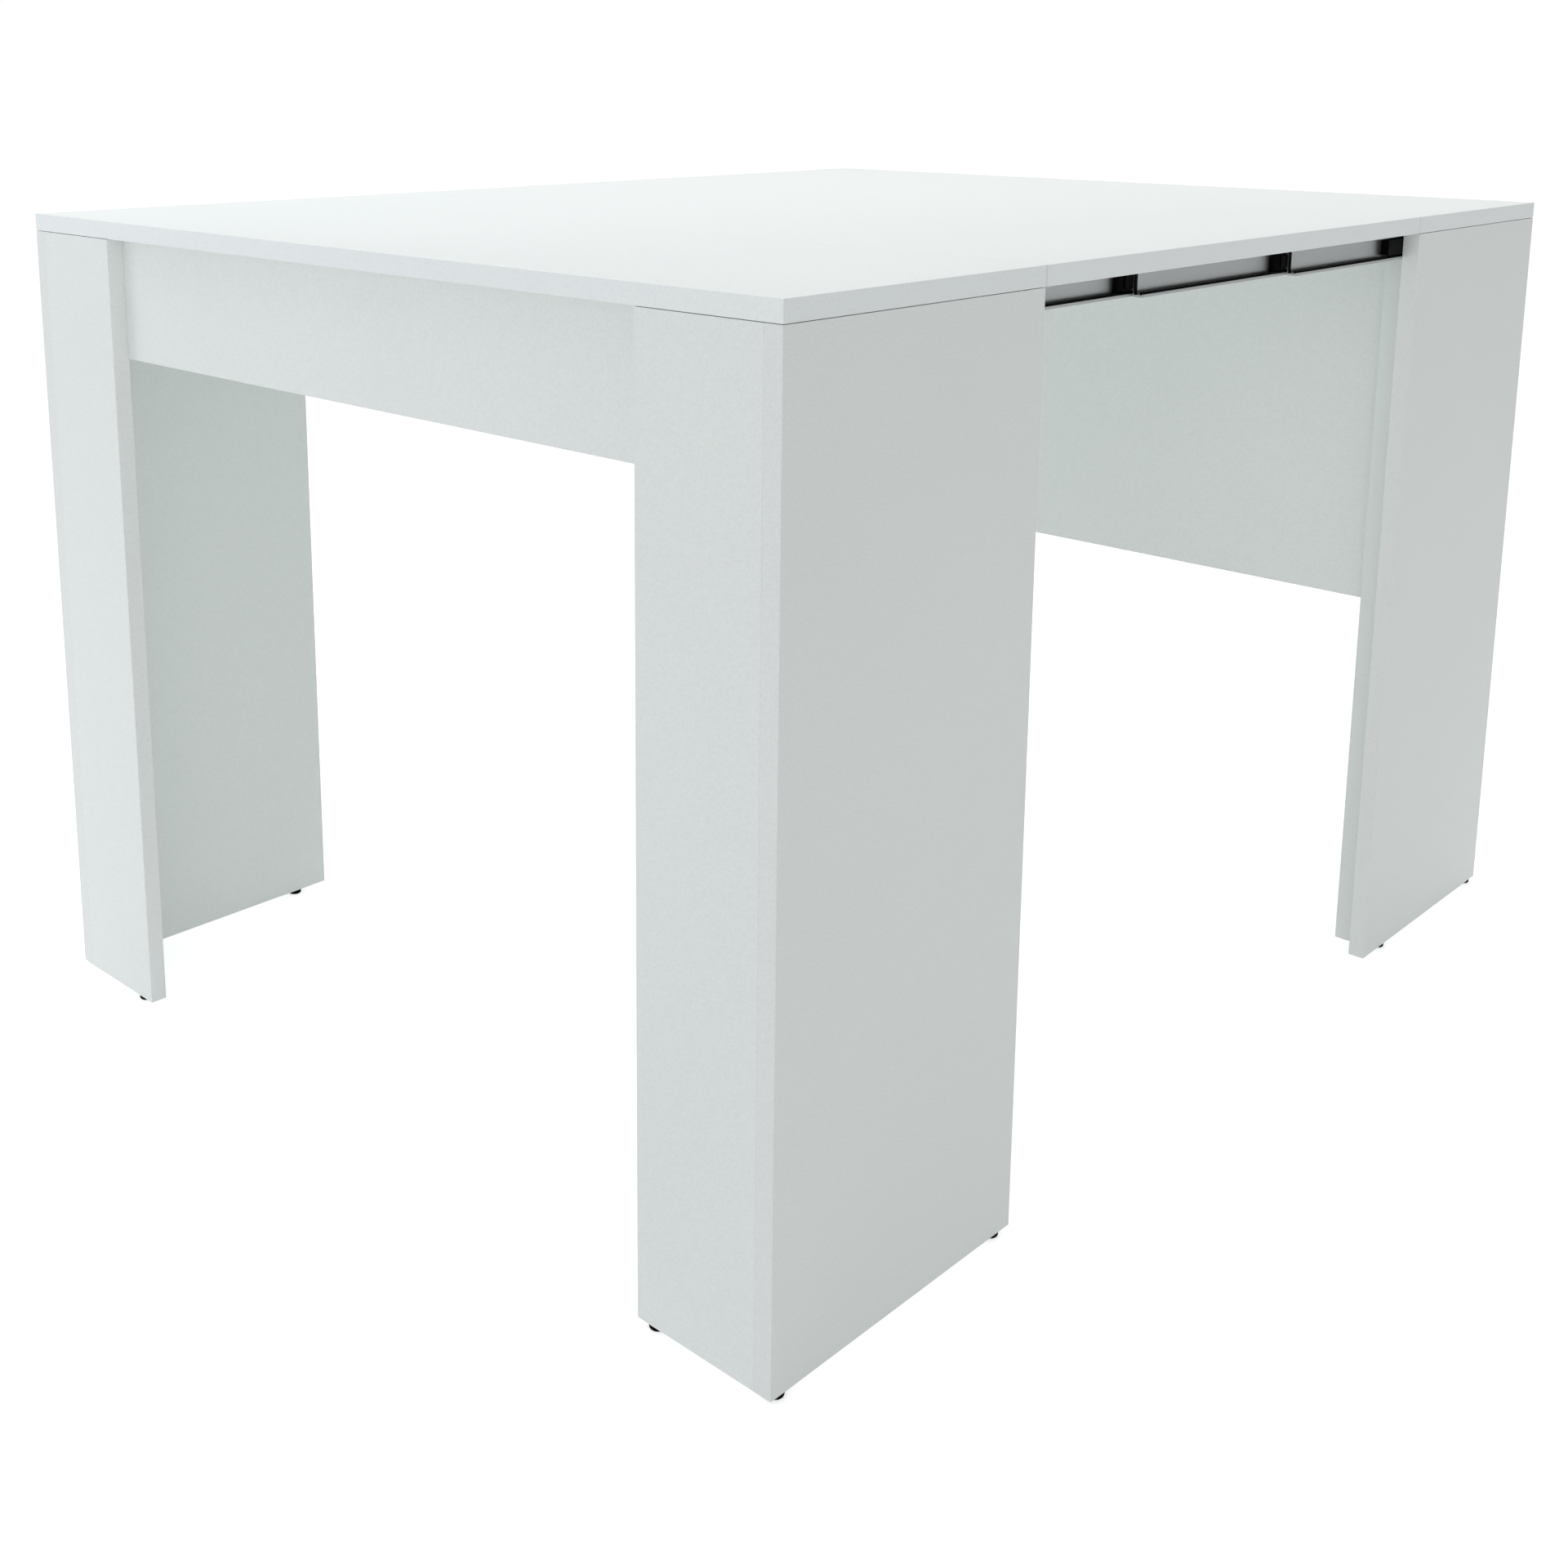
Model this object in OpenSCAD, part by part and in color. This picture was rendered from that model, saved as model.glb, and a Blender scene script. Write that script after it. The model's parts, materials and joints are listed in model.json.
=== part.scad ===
// Extendable console table, drawn part of the way out, with one leaf between its two halves.
// X runs across the table, Y along the way that it opens, and Z up. The origin is on the
// floor, under the middle of the table as it stands. The near half is at the -Y end.

/* [Table] */
// Width of the table, across the way it opens
table_w = 900; // [760:10:1200]
// Depth of each half of the table top
half_d = 272; // [250:1:340]
// Length of the leaf
leaf_l = 603; // [540:1:680]
// Gap between the leaf and each half
joint_gap = 0.2; // [0.2:0.1:1.5]
// Thickness of every board
board_t = 15; // [12:1:19]
// Bevel that eases each edge of a board
arris = 0.2; // [0.1:0.1:1]
// Shadow gap between a table top and the legs; the top bears on the aprons and cross panel
top_gap = 0.5; // [0.2:0.1:1.5]

/* [Legs] */
// Height of the leg panels
leg_h = 712.5; // [640:0.5:800]
// Width of a leg seen from the end of the table
leg_w = 125; // [110:1:180]
// How far a side panel stops short of the inner edge of its half
side_setback = 1; // [0.5:0.5:6]
// Height of a floor glide
glide_h = 5; // [3:0.5:8]
// Diameter of a floor glide
glide_d = 13; // [8:0.5:14]
// From the near end of the table to its corner glides
glide_corner_near = 13; // [8:1:40]
// From the far end of the table to its corner glides
glide_corner_far = 11; // [8:1:40]
// From a leg panel's free edge to its glide
glide_inset = 13; // [8:1:40]
// From the near left leg panel's free edge to its glide
glide_inset_left = 22; // [8:1:40]
// From the near right side panel's inner edge to its glide
glide_back_right = 14; // [8:1:60]
// From the near left side panel's inner edge to its glide
glide_back_left = 33; // [8:1:60]
// From a far side panel's inner edge to its glide
glide_back_far = 48; // [8:1:60]

/* [Aprons and cross panel] */
// Height of the apron at each end
apron_h = 106; // [90:1:160]
// Height of the cross panel under the far half
cross_h = 362; // [300:1:420]
// Width of the posts in front of the cross panel
post_w = 27; // [20:1:45]
// How far the posts stand behind the inner edge of the side panels
post_setback = 27; // [16:1:60]

/* [Rails] */
// Length of a rail
rail_l = 445; // [410:1:446]
// Height of a rail
rail_h = 24; // [21:0.5:30]
// Depth of a rail's channel
rail_d = 9; // [8.8:0.1:11]
// Wall of a rail
rail_wall = 1.8; // [1.4:0.1:2]
// Gap between a rail and the next one outside it
rail_side_gap = 1.5; // [0.6:0.1:2.5]
// Gap between the rails and the boards above
rail_top_gap = 0.3; // [0.2:0.1:0.9]
// Gap between the first rail's end and the apron
rail_end_gap = 2; // [1:0.5:6]
// From a rail's far end to the face of its travel stop
stop_in = 70; // [60:1:100]
// Running clearance of what slides in a rail
slide_gap = 0.3; // [0.2:0.1:0.5]

/* [Slides] */
// Height of the strip along a rail's lower edge
strip_h = 3; // [2:0.1:3.5]
// Depth of that strip
strip_d = 1.8; // [1.2:0.1:2]
// How far an end glide stands out of its rail's near end
end_glide_l = 18.5; // [14:0.5:50]
// Length of the end glide's plug in the rail's hollow back
plug_l = 15; // [8:1:40]
// Length of a travel stop
stop_l = 12; // [8:1:30]
// Length of the spacer that stands out past the far side panel
spacer_l = 72; // [50:1:90]

/* [Fittings] */
// Diameter of a cam
cam_d = 15; // [12:0.5:16]
// Depth of a cam
cam_depth = 11; // [9:0.5:11.5]
// From the joint to the cam's centre
cam_reach = 34; // [24:1:40]
// Diameter of a cam's bolt
bolt_d = 6; // [5:0.5:7]
// Depth of the bolt in the side panel
bolt_depth = 9; // [7:0.5:10]
// Diameter of a dowel
dowel_d = 8; // [6:0.5:8]
// Depth of a dowel in the face of a board
dowel_face = 9; // [7:0.5:10]
// Depth of a dowel in the edge of a board
dowel_edge = 20; // [16:1:25]
// Diameter of a wood screw
screw_d = 3.6; // [3:0.1:4]
// Depth of a wood screw in a board
screw_depth = 11; // [8:0.5:11.5]
// Leg of a steel bracket
bracket_leg = 22; // [18:0.5:26]
// Width of a steel bracket
bracket_w = 20; // [14:1:30]
// Thickness of a steel bracket
bracket_t = 2; // [1.5:0.1:3]
// From one apron bracket to the next
bracket_pitch = 250; // [150:5:290]

/* [Hidden] */
$fn = 32;
rail_count = 6;
// How far each rail is drawn out at rest, as a share of the way to the last one
drawn = [0, 0.12, 0.25, 0.38, 0.643, 1];
fit = 0.05;
lip_t = 1.4;
lip_h = 0.6;
rail_edge = 0.5;
head_t = 2;
neck_t = 1.6;
head_d = 7;
head_h = 2.2;
pin_d = 3;
pin_l = 10;
notch_gap = 1.2;
notch_side = 5;
post_dowel_reach = 15;
cam_zs = [60, 330, 560];
cross_cam_in = 62;
post_dowel_shares = [0.34, 0.85];
screw_in = 45;
panel_screw_in = 26;
spacer_out = 30;
bracket_y = [48, 226];
dowel_in = 64;

half_w = table_w / 2;
inner_w = half_w - board_t;
side_l = half_d - side_setback;
top_z = glide_h + leg_h + top_gap;
total_l = 2 * half_d + leaf_l + 2 * joint_gap;
end_y = total_l / 2;
rail_pitch = rail_d + rail_side_gap;
rail_z = top_z - rail_top_gap - rail_h;
stack_w = rail_count * rail_pitch - rail_side_gap;
rail_y0 = -end_y + 2 * board_t + rail_end_gap;
rail_span = 2 * -rail_y0 - rail_l;
post_y = side_l - post_setback;
cross_y = post_y - board_t;
post_top = rail_z - notch_gap;
apron_cam_z = apron_h - 38;
strip_x = rail_d - lip_t - strip_d;
head_x = strip_x - slide_gap - head_t;
neck_z = rail_wall + strip_h + slide_gap;
web_screw_z = rail_h / 2;

function rail_x(k) = inner_w - (rail_count - k) * rail_pitch - rail_d;
function rail_y(k) = rail_y0 + drawn[k - 1] * rail_span;

white = [0.93, 0.94, 0.94];
silver = [0.74, 0.76, 0.77];
zinc = [0.62, 0.63, 0.65];
black = [0.05, 0.05, 0.06];
beech = [0.80, 0.63, 0.42];

// Each half is drawn with its outer end at Y 0 and its inner edge towards +Y
module near() translate([0, -end_y, 0]) children();
module far() translate([0, end_y, 0]) mirror([0, 1, 0]) children();
module right() children();
module left() mirror([1, 0, 0]) children();
module both() {
    right() children();
    left() children();
}

// A board with eased edges
module eight(a, b)
    polygon([[arris, 0], [a - arris, 0], [a, arris], [a, b - arris],
        [a - arris, b], [arris, b], [0, b - arris], [0, arris]]);

module board(w, d, h)
    intersection() {
        linear_extrude(h) eight(w, d);
        translate([0, d, 0]) rotate([90, 0, 0]) linear_extrude(d) eight(w, h);
        rotate([90, 0, 90]) linear_extrude(w) eight(d, h);
    }

// Round things that run along X, Y or Z from the place where they start
module along_x(d, l) rotate([0, 90, 0]) cylinder(d = d, h = l);
module along_y(d, l) rotate([-90, 0, 0]) cylinder(d = d, h = l);
module along_z(d, l) cylinder(d = d, h = l);

// Places of the fittings in one half, on its right side
module top_dowel_places() {
    for (y = [dowel_in, side_l - dowel_in])
        translate([half_w - board_t / 2, y, top_z]) children();
    translate([half_w - leg_w + dowel_in, board_t / 2, top_z]) children();
}
module leg_cam_places()
    for (z = cam_zs)
        translate([inner_w, board_t / 2, glide_h + z]) children();
module apron_cam_place()
    translate([inner_w, 1.5 * board_t, top_z - apron_cam_z]) children();
module cross_cam_places()
    for (z = [top_z - cross_cam_in, top_z - cross_h + cross_cam_in])
        translate([inner_w, cross_y - board_t / 2, z]) children();
module post_dowel_places()
    for (share = post_dowel_shares)
        translate([inner_w, post_y - board_t / 2, glide_h + share * (leg_h - cross_h)])
            children();
module rail_screw_places()
    for (y = [screw_in, side_l - panel_screw_in])
        translate([inner_w, y, rail_z + web_screw_z]) children();
module post_screw_places()
    for (z = [top_z - cross_cam_in - screw_in, top_z - cross_h + screw_in / 2])
        translate([inner_w - post_w / 2, cross_y - board_t, z]) children();
module bracket_places()
    for (x = [-bracket_pitch, 0, bracket_pitch])
        translate([x, 0, top_z]) children();
module side_glide_places(corner, back)
    for (y = [corner, side_l - back]) translate([half_w - board_t / 2, y, 0]) children();
module leg_glide_place(inset)
    translate([half_w - leg_w + inset, board_t / 2, 0]) children();

// A cam joint at the origin: its bolt runs along X, and its cam opens towards +Y
module cam_bolt() {
    translate([-cam_reach + cam_d / 2, 0, 0])
        along_x(bolt_d, cam_reach - cam_d / 2 + bolt_depth);
}
module cam_bolt_bore()
    translate([-cam_reach, 0, 0]) along_x(bolt_d + 2 * fit, cam_reach + bolt_depth + fit);
module cam_bore()
    translate([-cam_reach, board_t / 2 - cam_depth - fit, 0])
        along_y(cam_d + 2 * fit, cam_depth + 1);
module cam()
    translate([-cam_reach, board_t / 2 - cam_depth, 0])
        difference() {
            along_y(cam_d, cam_depth);
            translate([-cam_d / 3, cam_depth - 2, -0.6]) cube([cam_d / 1.5, 3, 1.2]);
            translate([-0.6, cam_depth - 2, -cam_d / 3]) cube([1.2, 3, cam_d / 1.5]);
            translate([cam_d / 4, cam_depth - board_t / 2 - bolt_d / 2, -bolt_d / 2 - 1])
                cube([cam_d / 4 + fit, bolt_d, bolt_d + 2]);
        }

// A dowel across the plane Z 0: its face part is above and its edge part below
module dowel() translate([0, 0, -dowel_edge]) along_z(dowel_d, dowel_edge + dowel_face);
module dowel_bore()
    translate([0, 0, -dowel_edge - fit])
        along_z(dowel_d + 2 * fit, dowel_edge + dowel_face + 2 * fit);
module post_dowel(extra = 0)
    translate([-post_dowel_reach - extra, 0, 0])
        along_x(dowel_d + 2 * extra, post_dowel_reach + dowel_face + 2 * extra);

// A screw that enters along +Z at the origin, with its head below
module screw(grip)
    union() {
        translate([0, 0, -grip - head_h]) along_z(head_d, head_h);
        translate([0, 0, -grip]) along_z(screw_d, grip + screw_depth);
    }
module screw_bore(through = 0)
    translate([0, 0, -through - fit])
        along_z(screw_d + 2 * fit, screw_depth + through + 2 * fit);

// A steel bracket in the corner between a board above it and a face at Y 0, towards +Y
module bracket_holes() {
    translate([0, bracket_leg * 0.6, 0]) children();
    translate([0, 0, -bracket_leg * 0.6]) rotate([90, 0, 0]) children();
}
module bracket()
    difference() {
        union() {
            translate([-bracket_w / 2, 0, -bracket_t]) cube([bracket_w, bracket_leg, bracket_t]);
            translate([-bracket_w / 2, 0, -bracket_leg]) cube([bracket_w, bracket_t, bracket_leg]);
        }
        bracket_holes() translate([0, 0, -2 * bracket_t]) along_z(screw_d + 0.4, 3 * bracket_t);
    }
module apron_corner() translate([0, 2 * board_t, 0]) children();
module cross_corner() translate([0, cross_y - board_t, 0]) mirror([0, 1, 0]) children();
module rail_bracket_places()
    for (y = bracket_y)
        translate([rail_x(1), y, top_z]) rotate([0, 0, 90]) children();

// Boards of one half
module top_board()
    color(white) difference() {
        translate([-half_w, 0, top_z]) board(table_w, half_d, board_t);
        both() top_dowel_places() dowel_bore();
        bracket_places() apron_corner() translate([0, bracket_leg * 0.6, 0]) screw_bore();
    }
module side_panel(corner, back)
    difference() {
        translate([inner_w, 0, glide_h]) board(board_t, side_l, leg_h);
        top_dowel_places() dowel_bore();
        leg_cam_places() cam_bolt_bore();
        apron_cam_place() cam_bolt_bore();
        side_glide_places(corner, back) glide_pin(fit);
    }
module leg_panel(inset = glide_inset)
    color(white) difference() {
        translate([half_w - leg_w, 0, glide_h]) board(leg_w - board_t, board_t, leg_h);
        top_dowel_places() dowel_bore();
        leg_cam_places() {
            cam_bore();
            cam_bolt_bore();
        }
        leg_glide_place(inset) glide_pin(fit);
    }
module apron()
    color(white) difference() {
        translate([-inner_w, board_t, top_z - apron_h]) board(2 * inner_w, board_t, apron_h);
        both() apron_cam_place() {
            cam_bore();
            cam_bolt_bore();
        }
        bracket_places() apron_corner() translate([0, 0, -bracket_leg * 0.6])
            rotate([90, 0, 0]) screw_bore();
    }

// Pieces of the near half
module near_top()
    near() difference() {
        top_board();
        both() rail_bracket_places() translate([0, bracket_leg * 0.6, 0]) screw_bore();
    }
module near_side_panel(back) near() color(white) side_panel(glide_corner_near, back);

// Pieces of the far half
module far_top()
    far() difference() {
        top_board();
        bracket_places() cross_corner() translate([0, bracket_leg * 0.6, 0]) screw_bore();
    }
module far_side_panel()
    far() color(white) difference() {
        side_panel(glide_corner_far, glide_back_far);
        cross_cam_places() cam_bolt_bore();
        post_dowel_places() post_dowel(fit);
        rail_screw_places() rotate([0, 90, 0]) screw_bore();
    }
module cross_panel()
    far() color(white) difference() {
        translate([-inner_w, cross_y - board_t, top_z - cross_h])
            board(2 * inner_w, board_t, cross_h);
        both() {
            translate([inner_w - stack_w - notch_side, cross_y - 2 * board_t, post_top])
                cube([2 * stack_w, 3 * board_t, 2 * rail_h]);
            cross_cam_places() mirror([0, 1, 0]) {
                cam_bore();
                cam_bolt_bore();
            }
            translate([0, board_t, 0]) post_screw_places()
                rotate([-90, 0, 0]) screw_bore(board_t);
        }
        bracket_places() cross_corner() translate([0, 0, -bracket_leg * 0.6])
            rotate([90, 0, 0]) screw_bore();
    }
module inner_post()
    far() color(white) difference() {
        translate([inner_w - post_w, cross_y, glide_h])
            board(post_w, board_t, post_top - glide_h);
        post_dowel_places() post_dowel(fit);
        translate([0, board_t, 0]) post_screw_places() rotate([-90, 0, 0]) screw_bore();
    }

// Floor glides: a domed foot on a pin that is driven into the board's edge
module glide_pin(extra = 0)
    translate([0, 0, glide_h - fit]) along_z(pin_d + 2 * extra, pin_l + fit + extra);
module floor_glide()
    union() {
        rotate_extrude()
            polygon([[0, 0], [glide_d / 2 - 1.2, 0], [glide_d / 2 - 0.3, 0.8],
                [glide_d / 2, 2], [glide_d / 2, glide_h], [0, glide_h]]);
        glide_pin();
    }
module half_floor_glides(corner, back, inset) {
    side_glide_places(corner, back) floor_glide();
    leg_glide_place(inset) floor_glide();
}
module near_floor_glides()
    near() color(black) {
        right() half_floor_glides(glide_corner_near, glide_back_right, glide_inset);
        left() half_floor_glides(glide_corner_near, glide_back_left, glide_inset_left);
    }
module far_floor_glides()
    far() color(black) both()
        half_floor_glides(glide_corner_far, glide_back_far, glide_inset);

// Fittings
module half_cams()
    both() {
        leg_cam_places() cam();
        apron_cam_place() cam();
    }
module half_cam_bolts()
    both() {
        leg_cam_places() cam_bolt();
        apron_cam_place() cam_bolt();
    }
module near_cams() near() color(zinc) half_cams();
module near_cam_bolts() near() color(zinc) half_cam_bolts();
module near_dowels() near() color(beech) both() top_dowel_places() dowel();
module near_top_brackets() near() color(zinc) bracket_places() apron_corner() bracket();
module near_rail_brackets() near() color(zinc) both() rail_bracket_places() bracket();
module near_screws()
    near() color(zinc) {
        bracket_places() apron_corner() bracket_holes() screw(bracket_t);
        both() rail_bracket_places() {
            translate([0, bracket_leg * 0.6, 0]) screw(bracket_t);
            translate([0, 0, -bracket_leg * 0.6]) rotate([90, 0, 0]) rail_screw();
        }
    }
module far_cams()
    far() color(zinc) {
        half_cams();
        both() cross_cam_places() mirror([0, 1, 0]) cam();
    }
module far_cam_bolts()
    far() color(zinc) {
        half_cam_bolts();
        both() cross_cam_places() cam_bolt();
    }
module far_dowels()
    far() color(beech) both() {
        top_dowel_places() dowel();
        post_dowel_places() post_dowel();
    }
module far_top_brackets()
    far() color(zinc) bracket_places() {
        apron_corner() bracket();
        cross_corner() bracket();
    }
module far_screws()
    far() color(zinc) {
        bracket_places() {
            apron_corner() bracket_holes() screw(bracket_t);
            cross_corner() bracket_holes() screw(bracket_t);
        }
        both() {
            translate([0, board_t, 0]) post_screw_places() rotate([-90, 0, 0]) screw(board_t);
            rail_screw_places() rotate([0, 90, 0]) screw(rail_d);
        }
    }

// A machine screw that ends flush with the inside of the first rail's web
module rail_screw() {
    translate([0, 0, -bracket_t - head_h]) along_z(head_d, head_h);
    translate([0, 0, -bracket_t]) along_z(screw_d, bracket_t + rail_wall);
}

// The leaf lies over the rails, between the two halves
module leaf()
    color(white) translate([-half_w, half_d + joint_gap - end_y, top_z])
        board(table_w, leaf_l, board_t);

// Section of a rail: a lipped channel that opens outwards, and on all but the first a
// hollow back with a flat head, which runs behind the strip and lips of the rail inside it
module rail_section(k) {
    low = rail_wall + lip_h;
    polygon([[0, rail_edge], [rail_edge, 0], [rail_d - rail_edge, 0], [rail_d, rail_edge],
        [rail_d, low], [rail_d - lip_t, low], [rail_d - lip_t, rail_wall],
        [rail_wall, rail_wall], [rail_wall, rail_h - rail_wall],
        [rail_d - lip_t, rail_h - rail_wall], [rail_d - lip_t, rail_h - low],
        [rail_d, rail_h - low], [rail_d, rail_h - rail_edge], [rail_d - rail_edge, rail_h],
        [rail_edge, rail_h], [0, rail_h - rail_edge]]);
    if (k > 1) {
        for (z = [neck_z, rail_h - neck_z - neck_t])
            translate([head_x - rail_pitch, z])
                square([rail_pitch - head_x + rail_wall / 2, neck_t]);
        translate([head_x - rail_pitch, rail_wall + slide_gap])
            square([head_t, rail_h - 2 * rail_wall - 2 * slide_gap]);
    }
}
module rail(k)
    color(silver) difference() {
        translate([rail_x(k), rail_y(k) + rail_l, rail_z])
            rotate([90, 0, 0]) linear_extrude(rail_l) rail_section(k);
        if (k == 1) near() rail_bracket_places()
            translate([0, -rail_wall - fit, -bracket_leg * 0.6])
                rotate([-90, 0, 0]) along_z(screw_d + 2 * fit, 2 * rail_wall);
        if (k == rail_count) far() rail_screw_places() {
            translate([-rail_d - fit, 0, 0]) along_x(screw_d + 0.4, 2 * rail_wall);
            translate([-rail_d - rail_pitch, 0, 0]) along_x(head_d + 1, rail_pitch);
        }
    }

// Black strip along the lower edge of a rail's channel
module slide_strip(k)
    color(black) translate([rail_x(k) + strip_x, rail_y(k), rail_z + rail_wall])
        cube([strip_d, rail_l, strip_h]);

// Glide at a rail's near end: it runs in the channel of the rail inside it, and its plug is
// pressed into the rail's hollow back
module end_glide(k)
    color(black) translate([rail_x(k) - rail_pitch, rail_y(k) - end_glide_l, rail_z])
        union() {
            translate([rail_wall + slide_gap, 0, rail_wall + slide_gap])
                cube([head_x + head_t - rail_wall - slide_gap, end_glide_l,
                    rail_h - 2 * rail_wall - 2 * slide_gap]);
            translate([head_x, 0, neck_z])
                cube([rail_d - head_x, end_glide_l, rail_h - 2 * neck_z]);
            translate([head_x + head_t + fit, 1, neck_z + neck_t + fit])
                cube([rail_pitch - head_x - head_t - 2 * fit, end_glide_l + plug_l - 1,
                    rail_h - 2 * neck_z - 2 * neck_t - 2 * fit]);
        }

// Stop in a rail's channel that the next rail's end glide meets
module travel_stop(k)
    color(black)
        translate([rail_x(k) + rail_wall, rail_y(k) + rail_l - stop_in, rail_z + rail_wall])
            cube([head_x - rail_wall - slide_gap, stop_l, rail_h - 2 * rail_wall]);

// Spacers in the last rail's channel, which its screws go through into the side panel
module spacer(y, l)
    translate([inner_w - rail_d + rail_wall, y, rail_z + neck_z])
        cube([rail_d - rail_wall, l, rail_h - 2 * neck_z]);
module far_rail_spacers()
    far() color(black) both() difference() {
        union() {
            spacer(screw_in - spacer_l / 6, spacer_l / 3);
            spacer(side_l + spacer_out - spacer_l, spacer_l);
        }
        rail_screw_places() translate([-rail_d, 0, 0]) along_x(screw_d + 2 * fit, 2 * rail_d);
    }

near_top();
left() near_side_panel(glide_back_left);  // near_side_panel_left
near_side_panel(glide_back_right);  // near_side_panel_right
left() near() leg_panel(glide_inset_left);  // near_leg_panel_left
near() leg_panel();  // near_leg_panel_right
near() apron();  // near_apron
near_floor_glides();
near_cams();
near_cam_bolts();
near_dowels();
near_top_brackets();
near_rail_brackets();
near_screws();
far_top();
left() far_side_panel();  // far_side_panel_left
far_side_panel();  // far_side_panel_right
left() far() leg_panel();  // far_leg_panel_left
far() leg_panel();  // far_leg_panel_right
far() apron();  // far_apron
cross_panel();
left() inner_post();  // inner_post_left
inner_post();  // inner_post_right
far_floor_glides();
far_cams();
far_cam_bolts();
far_dowels();
far_top_brackets();
far_rail_spacers();
far_screws();
leaf();
left() rail(1);  // rail_1_left
rail(1);  // rail_1_right
left() rail(2);  // rail_2_left
rail(2);  // rail_2_right
left() rail(3);  // rail_3_left
rail(3);  // rail_3_right
left() rail(4);  // rail_4_left
rail(4);  // rail_4_right
left() rail(5);  // rail_5_left
rail(5);  // rail_5_right
left() rail(6);  // rail_6_left
rail(6);  // rail_6_right
both() end_glide(2);  // end_glides_2
both() end_glide(3);  // end_glides_3
both() end_glide(4);  // end_glides_4
both() end_glide(5);  // end_glides_5
both() end_glide(6);  // end_glides_6
both() travel_stop(1);  // travel_stops_1
both() travel_stop(2);  // travel_stops_2
both() travel_stop(3);  // travel_stops_3
both() travel_stop(4);  // travel_stops_4
both() travel_stop(5);  // travel_stops_5
both() slide_strip(1);  // slide_strips_1
both() slide_strip(2);  // slide_strips_2
both() slide_strip(3);  // slide_strips_3
both() slide_strip(4);  // slide_strips_4
both() slide_strip(5);  // slide_strips_5
both() slide_strip(6);  // slide_strips_6
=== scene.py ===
"""Extendable console table: white melamine boards on nested telescopic aluminium rails.

The boards, rails, brackets, dowels and cam bolts keep their CAD meshes and get their real
finishes here. The moulded, turned and pressed fittings are new surfaces worked out with numpy,
in the places where the CAD has them. Lengths are in millimetres until a mesh is made.
"""

import json
import math

import bpy
import numpy as np
from mathutils import Euler, Matrix, Vector


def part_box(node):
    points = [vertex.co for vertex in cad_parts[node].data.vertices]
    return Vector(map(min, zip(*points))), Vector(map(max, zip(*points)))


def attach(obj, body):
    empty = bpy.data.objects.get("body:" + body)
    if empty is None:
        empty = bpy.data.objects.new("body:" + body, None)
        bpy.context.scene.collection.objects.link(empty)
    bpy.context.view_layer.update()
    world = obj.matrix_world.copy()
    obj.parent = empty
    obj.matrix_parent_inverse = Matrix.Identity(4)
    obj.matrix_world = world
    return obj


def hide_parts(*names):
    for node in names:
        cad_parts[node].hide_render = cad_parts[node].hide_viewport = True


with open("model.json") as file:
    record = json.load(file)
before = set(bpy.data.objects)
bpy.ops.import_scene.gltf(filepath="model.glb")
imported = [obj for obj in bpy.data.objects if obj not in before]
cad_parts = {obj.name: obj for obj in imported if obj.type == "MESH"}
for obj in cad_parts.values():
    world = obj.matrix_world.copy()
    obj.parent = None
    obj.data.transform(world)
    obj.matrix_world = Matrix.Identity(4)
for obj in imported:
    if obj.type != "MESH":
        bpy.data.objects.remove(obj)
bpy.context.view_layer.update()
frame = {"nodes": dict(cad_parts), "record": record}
NODES = frame["nodes"]
MM = 0.001

# Sizes of the CAD model, in mm
HALF_W = 450.0
BOARD = 15.0
END_Y = 573.7
JOINT_Y = 301.6
TOP_Z = 718.0
GLIDE_H = 5.0
SIDE_L = 271.0
LEG_W = 125.0
INNER_W = HALF_W - BOARD
CROSS_FACE = 214.0
CROSS_H = 362.0
POST_W = 27.0
CAM_REACH = 34.0
CAM_ZS = (60.0, 330.0, 560.0)
APRON_CAM_Z = 68.0
CROSS_CAM_IN = 62.0
BRACKET_XS = (-250.0, 0.0, 250.0)
BRACKET_YS = (48.0, 226.0)
BRACKET_HOLE = 13.2
BRACKET_T = 2.0
RAIL_SCREW_YS = (45.0, 245.0)
RAIL_COUNT = 6
RAIL_PITCH = 10.5
RAIL_D = 9.0
RAIL_H = 24.0
RAIL_L = 445.0
RAIL_WALL = 1.8
RAIL_Z = TOP_Z - 0.3 - RAIL_H
RAIL_Y0 = -END_Y + 2 * BOARD + 2.0
RAIL_SPAN = -2 * RAIL_Y0 - RAIL_L
DRAWN = (0, 0.12, 0.25, 0.38, 0.643, 1)


# Materials

def linear(code):
    """sRGB hex to linear: c / 12.92 up to 0.04045, and ((c + 0.055) / 1.055) ** 2.4 above."""
    c = np.array([int(code[i:i + 2], 16) for i in (1, 3, 5)]) / 255
    c = np.where(c <= 0.04045, c / 12.92, ((c + 0.055) / 1.055) ** 2.4)
    return (*map(float, c), 1.0)


def add(tree, kind, inputs=None, **settings):
    """Adds a node with its settings; an input is a value, a node (its first output) or a
    socket."""
    made = tree.nodes.new("ShaderNode" + kind)
    for name, value in settings.items():
        setattr(made, name, value)
    for name, value in (inputs or {}).items():
        if isinstance(value, bpy.types.Node):
            value = value.outputs[0]
        if isinstance(value, bpy.types.NodeSocket):
            tree.links.new(value, made.inputs[name])
        else:
            made.inputs[name].default_value = value
    return made


def new_material(name, **sockets):
    """A Principled material with those values on its own sockets, and its tree."""
    material = bpy.data.materials.new(name)
    material.use_nodes = True
    tree = material.node_tree
    shader = tree.nodes["Principled BSDF"]
    for socket, value in sockets.items():
        shader.inputs[socket.replace("_", " ")].default_value = value
    return material, tree, shader


def coordinates(tree):
    return add(tree, "TexCoord").outputs["Object"]


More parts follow.
